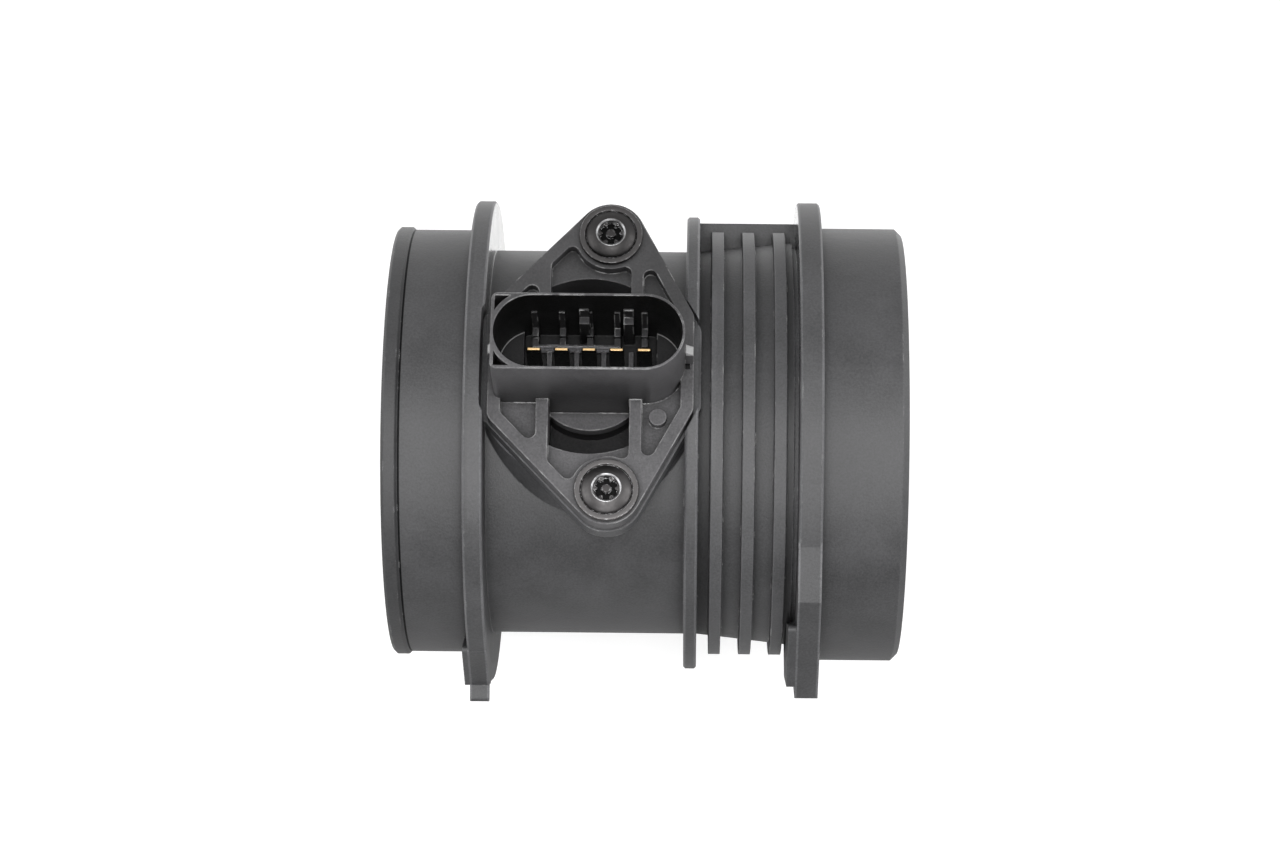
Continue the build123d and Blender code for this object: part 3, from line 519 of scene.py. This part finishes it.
def sensor_light_and_wear(made, colour):
    """Painted light toward the lower screw; painted shade near black in the socket, its pit and the well's
    gutter.
    """
    x, y, z = made.axes()
    # Painted light toward the lower screw and painted shade toward the upper one.
    colour = made.scaled(colour, made.span(y, *NEAR_FADE, NEAR_GLOW, FAR_SHADE))
    along = made.math("ABSOLUTE", made.math("SUBTRACT", x, SOCKET_MIDDLE))
    past_straight = made.math("MAXIMUM", made.math("SUBTRACT", along, SOCKET_HALF_STRAIGHT), 0.0)
    from_slot = made.length(past_straight, y)
    sideways = made.outside(made.upward())

    inside = made.both(
        made.step(from_slot, SOCKET_RADIUS, 0.1, 0.3, *FALLING),
        made.step(z, SOCKET_PIT, -0.5, -0.2),
    )
    below_rim = made.step(z, SOCKET_RIM, -0.4, -0.15, *FALLING)
    wall = made.both(made.step(from_slot, SOCKET_RADIUS, -0.3, -0.1), below_rim)
    pit = made.step(z, SOCKET_PIT, 0.2, 0.5, *FALLING)
    # Painted shade, near black, on the socket's walls and its pit.
    black = made.both(inside, made.either(wall, pit))
    inner_fronts = made.both(inside, below_rim, sideways)
    comb_x = made.within(x, *COMB_X)
    comb_front = made.both(made.within(y, *COMB_Y), made.within(z, SOCKET_PIT, COMB_TOP), comb_x)
    comb_top = made.both(made.near(z, COMB_TOP, SOFT), comb_x)
    high_tops = made.both(below_rim, made.step(z, HIGH_TOPS, 0, 0.4))
    rib_tops = made.both(made.upward(), made.within(z, *FLOOR_RIB_TOPS))
    end_floors = made.both(inside, made.near(z, END_FLOOR, 0.2 * MM))

    from_sensor = made.length(made.math("SUBTRACT", x, SENSOR_X), y)
    well = made.step(from_sensor, WELL_OUTER, 0, 0.2, *FALLING)
    gutter = made.both(made.within(z, *GUTTER_HEIGHTS), well)
    front_wall = made.both(
        made.step(y, FRONT_WALL, 0.1, 0),
        made.span(z, *FRONT_WALL_FADE),
        made.step(y, FRONT_WALL, -0.3, -0.1),
        sideways,
    )
    # Painted shade on the socket's inner fronts, comb top, high tops, end floors, gutter, walls, pit and
    # front wall; painted light on the comb front and the floor ribs' tops.
    tones = (
        (inner_fronts, INNER_FRONT_SHADE),
        (made.both(inner_fronts, comb_front), COMB_FRONT_GLOW),
        (made.both(inside, comb_top), COMB_TOP_SHADE),
        (made.both(inside, high_tops), HIGH_TOP_SHADE),
        (made.both(inside, rib_tops), FLOOR_RIB_GLOW),
        (end_floors, END_FLOOR_SHADE),
        (gutter, made.span(z, *GUTTER_STEP, *GUTTER_SHADES)),
        (black, SOCKET_WALL_SHADE),
        (front_wall, FRONT_WALL_SHADE),
    )
    for mask, factor in tones:
        colour = made.toned(colour, mask, factor)
    socket_loss = made.math("MULTIPLY", inside, SOCKET_MATT)
    gutter_loss = made.math("MULTIPLY", gutter, GUTTER_MATT)
    made.less_gloss(made.math("ADD", socket_loss, gutter_loss))

    # Painted shade in the creases outside the gutter, and painted highlights along the sharp edges.
    edges = made.both(made.edges(SENSOR_EDGE), made.outside(gutter))
    colour = made.blend(gutter, made.shaded_in_creases(colour, *SENSOR_CREASE), colour)
    colour = made.toned(colour, edges, SENSOR_EDGE_GLOW)
    shaded_corner = made.both(made.span(x, *SHADED_CORNER_X), made.span(y, *SHADED_CORNER_Y))
    colour = made.toned(colour, shaded_corner, SHADED_CORNER_SHADE)

    # Painted highlights on the latch ramps and where the end floors meet the socket wall.
    latch_highlights = made.both(made.step(along, LATCH_ROOT, 0, 0.1), made.within(z, *LATCH_RAMP))
    junction_highlight = made.both(end_floors, made.near(from_slot, *FLOOR_JUNCTION))
    # Lighter patches along the socket's lower front rim.
    bright_rim = made.both(
        made.within(y, *BRIGHT_RIM_Y),
        made.step(z, SOCKET_RIM, -0.3, -0.1),
        made.span(made.noise(BRIGHT_RIM_PATCH, detail=3.0), *BRIGHT_RIM_PATCHES),
        made.within(x, *BRIGHT_RIM_X, BRIGHT_RIM_SOFT),
    )
    # Wear specks on the sharp edges joined with the painted highlights and the rim patches, kept out of the
    # painted shade in the socket and gutter.
    wear_and_highlights = made.either(made.wear_and_highlights(*SENSOR_WORN), bright_rim, latch_highlights, junction_highlight)
    wear_and_highlights = made.both(wear_and_highlights, made.outside(made.either(black, gutter)))
    return made.blend(wear_and_highlights, colour, PLASTIC_WEAR_AND_HIGHLIGHT)


def brushed_metal(name, colour, roughness=0.35, brush=(1, 1, 1)):
    """Bare metal with fine scratches, drawn out along the axes where brush is under 1."""
    made = Material(name, colour, metallic=1.0, roughness=roughness)
    scratch = made.noise(SCRATCH_SIZE, detail=4.0, stretch=brush)
    darker = tuple(SCRATCH_TONE * channel for channel in colour)
    made.feed("Base Color", made.blend(made.span(scratch, *NOISE_SPAN), darker, colour))
    gloss_ends = [roughness + swing for swing in SCRATCH_GLOSS]
    made.feed("Roughness", made.span(scratch, *NOISE_SPAN, *gloss_ends))
    made.relief([(scratch, SCRATCH_DEPTH)], METAL_EDGE)
    return made


def terminal_metal():
    """Gold on the blade's very tip, and painted shade, very dark and not metallic, below it."""
    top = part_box("terminal_1")[1].z
    made = Material("terminal_metal", GOLD, metallic=1.0, roughness=0.3)
    scratch = made.noise(SCRATCH_SIZE, detail=4.0)
    ragged = made.math("ADD", made.axes()[2], made.math("MULTIPLY", scratch, GILDED_RAGGED))
    tip = made.step(ragged, top, *GILDED_FADE)
    # Below the gilded tip the blade is painted shade.
    made.feed("Base Color", made.blend(tip, TERMINAL_SHADE, GOLD))
    made.feed("Metallic", tip)
    made.feed("Roughness", made.span(scratch, *NOISE_SPAN, *TERMINAL_GLOSS))
    made.relief([(scratch, TERMINAL_SCRATCH_DEPTH)], METAL_EDGE)
    return made


def screw_steel():
    """Blackened steel with a painted highlight ring round the recess, bright wear on the outer edges,
    painted shade in the recess and over the upper screw, and painted light on the washer.
    """
    made = brushed_metal("screw_black", SCREW_BLACK, roughness=0.44)
    x, y, z = made.axes()
    beside = made.math("SUBTRACT", x, SCREW_X)
    before = made.math("SUBTRACT", made.math("ABSOLUTE", y), SCREW_Y)
    from_axis = made.length(beside, before)
    recess = made.step(from_axis, RECESS_RADIUS, -0.1, 0, *FALLING)
    deep = made.both(recess, made.step(z, FLANGE_TOP, *RECESS_FADE, *FALLING))
    washer = made.step(from_axis, DOME_RADIUS, 0, 0.1)
    ring = made.both(
        made.within(from_axis, RECESS_RADIUS + RING_GAP, CROWN_RADIUS, FINE_SOFT),
        made.step(z, FLANGE_TOP, *RING_FADE),
        made.span(made.noise(RING_PATCH), *RING_PATCHES, *RING_TONES),
    )
    patches = made.span(made.noise(SCREW_WORN_PATCH, detail=5.0), *SCREW_WORN)
    wear_and_highlights = made.both(made.edges(SCREW_EDGE), patches)
    # Painted shade deep in the recess.
    colour = made.blend(deep, SCREW_BLACK, RECESS_SHADE)
    # Painted light on the washer.
    colour = made.toned(colour, washer, WASHER_GLOW)
    # Painted highlight on the patchy ring round the recess, and wear specks on the edges.
    colour = made.blend(made.either(wear_and_highlights, ring), colour, SCREW_WEAR_AND_HIGHLIGHT)
    # Painted shade over the upper screw.
    colour = made.scaled(colour, made.span(y, *BETWEEN_SCREWS, 1.0, UPPER_SCREW_SHADE))
    made.feed("Base Color", colour)
    return made


MATERIALS = {
    "housing_plastic": moulded_plastic(
        "housing_grain", HOUSING_GREY, light_and_wear=housing_light_and_wear, polish=flange_polish
    ),
    "sensor_plastic": moulded_plastic("sensor_grain", SENSOR_GREY, roughness=0.46, light_and_wear=sensor_light_and_wear),
    "grid_plastic": moulded_plastic("grid_grain", GRID_GREY),
    "cover_plastic": moulded_plastic("cover_grain", COVER_GREY),
    "screen_wire": brushed_metal("screen_wire_steel", WIRE_GREY, roughness=0.3).material,
    "seal_rubber": moulded_plastic("seal_skin", RUBBER_BLACK, roughness=0.62),
    "carrier_metal": brushed_metal("carrier_aluminium", ALUMINIUM, brush=(0.1, 1, 1)).material,
    "board_ceramic": moulded_plastic("board_glaze", CERAMIC_GREEN, roughness=0.35),
    "chip_black": moulded_plastic("chip_epoxy", CHIP_BLACK, roughness=0.4),
    "capacitor_ceramic": moulded_plastic("capacitor_body", CAPACITOR_TAN, roughness=0.4),
    "chip_silicon": brushed_metal("silicon_face", SILICON_BLUE, roughness=0.15).material,
    "thermistor_glaze": moulded_plastic("thermistor_bead", GLAZE_BROWN, roughness=0.2),
    "terminal_brass": terminal_metal().material,
    "screw_steel": screw_steel().material,
}


def dress_cad_nodes():
    """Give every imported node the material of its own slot."""
    slot_of = {row["node"]: row["material_slot"] for row in frame["record"]["subparts"]}
    for name, node in nodes.items():
        for slot in node.material_slots:
            slot.material = MATERIALS[slot_of[name]]


# ---- Camera and studio ------------------------------------------------------------------------
def link(made):
    """Put a new object in the scene."""
    bpy.context.scene.collection.objects.link(made)
    return made


def add_camera():
    """The camera above the duct, tilted toward -Y and rolled a little, its lens slightly shifted."""
    data = bpy.data.cameras.new("camera")
    data.sensor_width = SENSOR_WIDTH_MM
    data.lens = SENSOR_WIDTH_MM * FOCAL_PIXELS / PICTURE_WIDTH
    data.shift_x = -CENTRE_RIGHT_PIXELS / PICTURE_WIDTH
    data.shift_y = CENTRE_DOWN_PIXELS / PICTURE_WIDTH
    data.clip_start = CAMERA_CLIP_START
    camera = link(bpy.data.objects.new("camera", data))
    place = Vector((CAMERA_X, -sin(CAMERA_TILT) * CAMERA_DISTANCE, cos(CAMERA_TILT) * CAMERA_DISTANCE))
    turn = Matrix.Rotation(CAMERA_TILT, 4, "X") @ Matrix.Rotation(CAMERA_ROLL, 4, "Z")
    camera.matrix_world = Matrix.Translation(place) @ turn
    bpy.context.scene.camera = camera


def add_softbox(name, place, size, power):
    """A rectangular light that faces the duct's middle."""
    data = bpy.data.lights.new(name, "AREA")
    data.shape = "RECTANGLE"
    data.size, data.size_y = size
    data.energy = power
    lamp = link(bpy.data.objects.new(name, data))
    aim = (Vector(DUCT_MIDDLE) - Vector(place)).to_track_quat("-Z", "Y").to_matrix().to_4x4()
    lamp.matrix_world = Matrix.Translation(place) @ aim


def by_ray(tree, plain, seen, mirrored):
    """One value for camera rays, one for mirror and glass rays and a plain one for all others."""
    path = tree.nodes.new("ShaderNodeLightPath")
    mirror = tree.nodes.new("ShaderNodeMath")
    mirror.operation = "MAXIMUM"
    tree.links.new(path.outputs["Is Glossy Ray"], mirror.inputs[0])
    tree.links.new(path.outputs["Is Transmission Ray"], mirror.inputs[1])
    value = plain
    for chosen, bright in ((mirror.outputs[0], mirrored), (path.outputs["Is Camera Ray"], seen)):
        mix = tree.nodes.new("ShaderNodeMix")
        tree.links.new(chosen, mix.inputs[0])
        join(tree, value, mix.inputs[2])
        join(tree, bright, mix.inputs[3])
        value = mix.outputs[0]
    return value


def graded(tree, vector, ends, values):
    """A value that changes along Y from one end to the other."""
    split = tree.nodes.new("ShaderNodeSeparateXYZ")
    tree.links.new(vector, split.inputs[0])
    ramp = tree.nodes.new("ShaderNodeMapRange")
    ramp.interpolation_type = "SMOOTHSTEP"
    tree.links.new(split.outputs[1], ramp.inputs[0])
    for index, value in enumerate((*ends, *values), 1):
        ramp.inputs[index].default_value = value
    return ramp.outputs[0]


def add_world():
    """White to the camera, and dimmer in reflections on the object's lower side."""
    world = bpy.data.worlds.new("studio")
    bpy.context.scene.world = world
    world.use_nodes = True
    tree = world.node_tree
    background = tree.nodes["Background"]
    background.inputs["Color"].default_value = (1, 1, 1, 1)
    direction = tree.nodes.new("ShaderNodeTexCoord").outputs["Generated"]
    mirrored = graded(tree, direction, WORLD_FADE, WORLD_MIRROR)
    join(tree, by_ray(tree, WORLD_FILL, 1.0, mirrored), background.inputs["Strength"])


def add_floor():
    """A wide pale sheet under the duct, which keeps the object's shadow."""
    drop = cad_box[0][2] - FLOOR_GAP
    mesh = bpy.data.meshes.new("floor")
    signs = ((-1, -1), (1, -1), (1, 1), (-1, 1))
    corners = [(side * FLOOR_HALF, front * FLOOR_HALF, drop) for side, front in signs]
    mesh.from_pydata(corners, [], [(0, 1, 2, 3)])
    floor = link(bpy.data.objects.new("floor", mesh))
    paper = bpy.data.materials.new("floor_paper")
    paper.use_nodes = True
    tree = paper.node_tree
    shader = tree.nodes["Principled BSDF"]
    shader.inputs["Base Color"].default_value = (FLOOR_TONE, FLOOR_TONE, FLOOR_TONE, 1)
    shader.inputs["Roughness"].default_value = FLOOR_ROUGHNESS
    shader.inputs["Specular IOR Level"].default_value = FLOOR_SPECULAR
    shader.inputs["Emission Color"].default_value = (1, 1, 1, 1)
    place = tree.nodes.new("ShaderNodeTexCoord").outputs["Object"]
    mirrored = graded(tree, place, FLOOR_FADE, FLOOR_MIRROR)
    join(tree, by_ray(tree, 0.0, FLOOR_GLOW, mirrored), shader.inputs["Emission Strength"])
    mesh.materials.append(paper)


def new_piece(name, mesh, slot, replaced):
    """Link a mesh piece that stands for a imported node, and give it its slot's material."""
    data = bpy.data.meshes.new(name)
    mesh.to_mesh(data)
    mesh.free()
    data.materials.append(MATERIALS[slot])
    for face in data.polygons:
        face.use_smooth = True
    data.set_sharp_from_angle(angle=SMOOTH_ANGLE)
    piece = link(bpy.data.objects.new(name, data))
    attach(piece, "root")
    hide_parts(replaced)


def add_wall(mesh, before, after):
    """Faces between two closed rings of as many points."""
    for index in range(len(before)):
        following = (index + 1) % len(before)
        mesh.faces.new((before[index], before[following], after[following], after[index]))


# ---- Flange screws ----------------------------------------------------------------------------
def six_lobes(angle):
    """The recess's radius, with rounded lobes between inward bulges."""
    bulge = max(0.0, cos(LOBES * angle)) ** LOBE_ROUNDING
    return RECESS_RADIUS - LOBE_GAP - LOBE_DEPTH * bulge


def lathe(rows):
    """A closed turned mesh from (radius, height) rows, where a radius may change with the angle."""
    mesh = bmesh.new()
    angles = [2 * pi * index / TURN_SEGMENTS for index in range(TURN_SEGMENTS)]
    rings = []
    for radius, height in rows:
        reaches = [radius(angle) if callable(radius) else radius for angle in angles]
        places = [(reach * cos(angle), reach * sin(angle), height) for reach, angle in zip(reaches, angles)]
        rings.append([mesh.verts.new(place) for place in places])
    for lower, upper in zip(rings, rings[1:]):
        add_wall(mesh, lower, upper)
    ends = [mesh.faces.new(list(reversed(rings[0]))), mesh.faces.new(rings[-1])]
    bmesh.ops.triangulate(mesh, faces=ends)
    return mesh


def arc_rows(start, end, sag, steps):
    """Rows from one (radius, height) to another along an arc that rises sag above the chord."""
    rows = []
    for step in range(steps + 1):
        share = step / steps
        rise = sag * 4 * share * (1 - share)
        radius, height = (a + (b - a) * share for a, b in zip(start, end))
        rows.append((radius, height + rise))
    return rows


def thread_rows(low):
    """The screw's tip and its thread, each turn a ring, up to the plain shank under the head."""
    rows = [(SCREW_TIP_RADIUS, low), (THREAD_ROOT_RADIUS, low + SCREW_TIP_LENGTH)]
    height = low + THREAD_PITCH
    while height < -THREAD_PITCH:
        rows += [(THREAD_ROOT_RADIUS, height - THREAD_FLANK), (SHANK_RADIUS, height)]
        rows += [(THREAD_ROOT_RADIUS, height + THREAD_FLANK)]
        height += THREAD_PITCH
    return rows + [(SHANK_RADIUS, -SHANK_LENGTH), (SHANK_RADIUS, 0.0)]


def screw_rows(low):
    """The screw's outline from its tip to the pin in its recess, heights from the flange's face."""
    washer = (
        (5.85, 0.0), (6.0, 0.12), (6.0, 0.62), (5.86, 0.82), (5.6, 0.88),
        (4.95, 0.80), (4.74, 0.55), (4.66, 0.80),
    )
    rows = thread_rows(low) + [millimetres(*point) for point in washer]
    rows += arc_rows(millimetres(4.6, 0.92), (CROWN_RADIUS, 1.86 * MM), DOME_SAG, DOME_STEPS)
    rows += [(CROWN_RADIUS - 0.08 * MM, 1.9 * MM), (RECESS_RADIUS + 0.08 * MM, 1.66 * MM)]
    rows += [(RECESS_RADIUS, 1.5 * MM), (six_lobes, 1.38 * MM), (six_lobes, 0.72 * MM)]
    rows += [(PIN_RADIUS, 0.7 * MM), (PIN_RADIUS, 1.3 * MM)]
    return rows + [millimetres(0.7, 1.42), millimetres(0.1, 1.45)]


def add_screws():
    """The two flange screws with their domes, washers, recesses and threads."""
    for name, side in (("flange_screw_upper", 1), ("flange_screw_lower", -1)):
        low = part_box(name)[0]
        mesh = lathe(screw_rows(low.z - FLANGE_TOP))
        mesh.transform(Matrix.Translation((SCREW_X, side * SCREW_Y, FLANGE_TOP)))
        new_piece(name + "_detail", mesh, "screw_steel", name)


# ---- Woven inlet screen -----------------------------------------------------------------------
def add_wire(mesh, points, across):
    """A four-sided wire through points; across is the direction that its section keeps."""
    sides = (across * WIRE_RADIUS, Vector((WIRE_RADIUS, 0, 0)))
    rings = []
    for place in points:
        rings.append([mesh.verts.new(place + sign * side) for sign in (1, -1) for side in sides])
    for before, after in zip(rings, rings[1:]):
        add_wall(mesh, before, after)
    mesh.faces.new(rings[0])
    mesh.faces.new(list(reversed(rings[-1])))


def add_band(mesh, start, end, inner, outer):
    """A flat ring about the duct axis between two radii."""
    angles = [2 * pi * index / TURN_SEGMENTS for index in range(TURN_SEGMENTS)]
    rings = []
    for x, radius in ((start, inner), (end, inner), (end, outer), (start, outer)):
        rings.append([mesh.verts.new((x, radius * cos(angle), radius * sin(angle))) for angle in angles])
    for before, after in zip(rings, rings[1:] + rings[:1]):
        add_wall(mesh, before, after)


def add_screen():
    """Plain-woven wires in a flat rim, each passing over and under the ones that cross it."""
    low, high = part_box("inlet_screen")
    outer = (high.y - low.y) / 2
    inner = outer - SCREEN_RIM
    plane = middle("inlet_screen").x
    count = int(inner / WIRE_PITCH)
    mesh = bmesh.new()
    for line in range(-count, count + 1):
        aside = line * WIRE_PITCH
        reach = sqrt(inner * inner - aside * aside) + WIRE_OVERLAP
        steps = int(reach / WIRE_PITCH) + 1
        for upright in (False, True):
            points = []
            for step in range(-steps, steps + 1):
                along = max(-reach, min(reach, step * WIRE_PITCH))
                sway = WIRE_RADIUS if (line + step) % 2 == upright else -WIRE_RADIUS
                flat = (aside, along) if upright else (along, aside)
                points.append(Vector((plane + sway, *flat)))
            add_wire(mesh, points, Vector((0, 1, 0)) if upright else Vector((0, 0, 1)))
    add_band(mesh, low.x, high.x, inner, outer)
    new_piece("woven_screen", mesh, "screen_wire", "inlet_screen")


dress_cad_nodes()
add_screws()
add_screen()
add_camera()
add_world()
for softbox in SOFTBOXES:
    add_softbox(*softbox)
add_floor()

bpy.context.scene.view_settings.view_transform = "Standard"
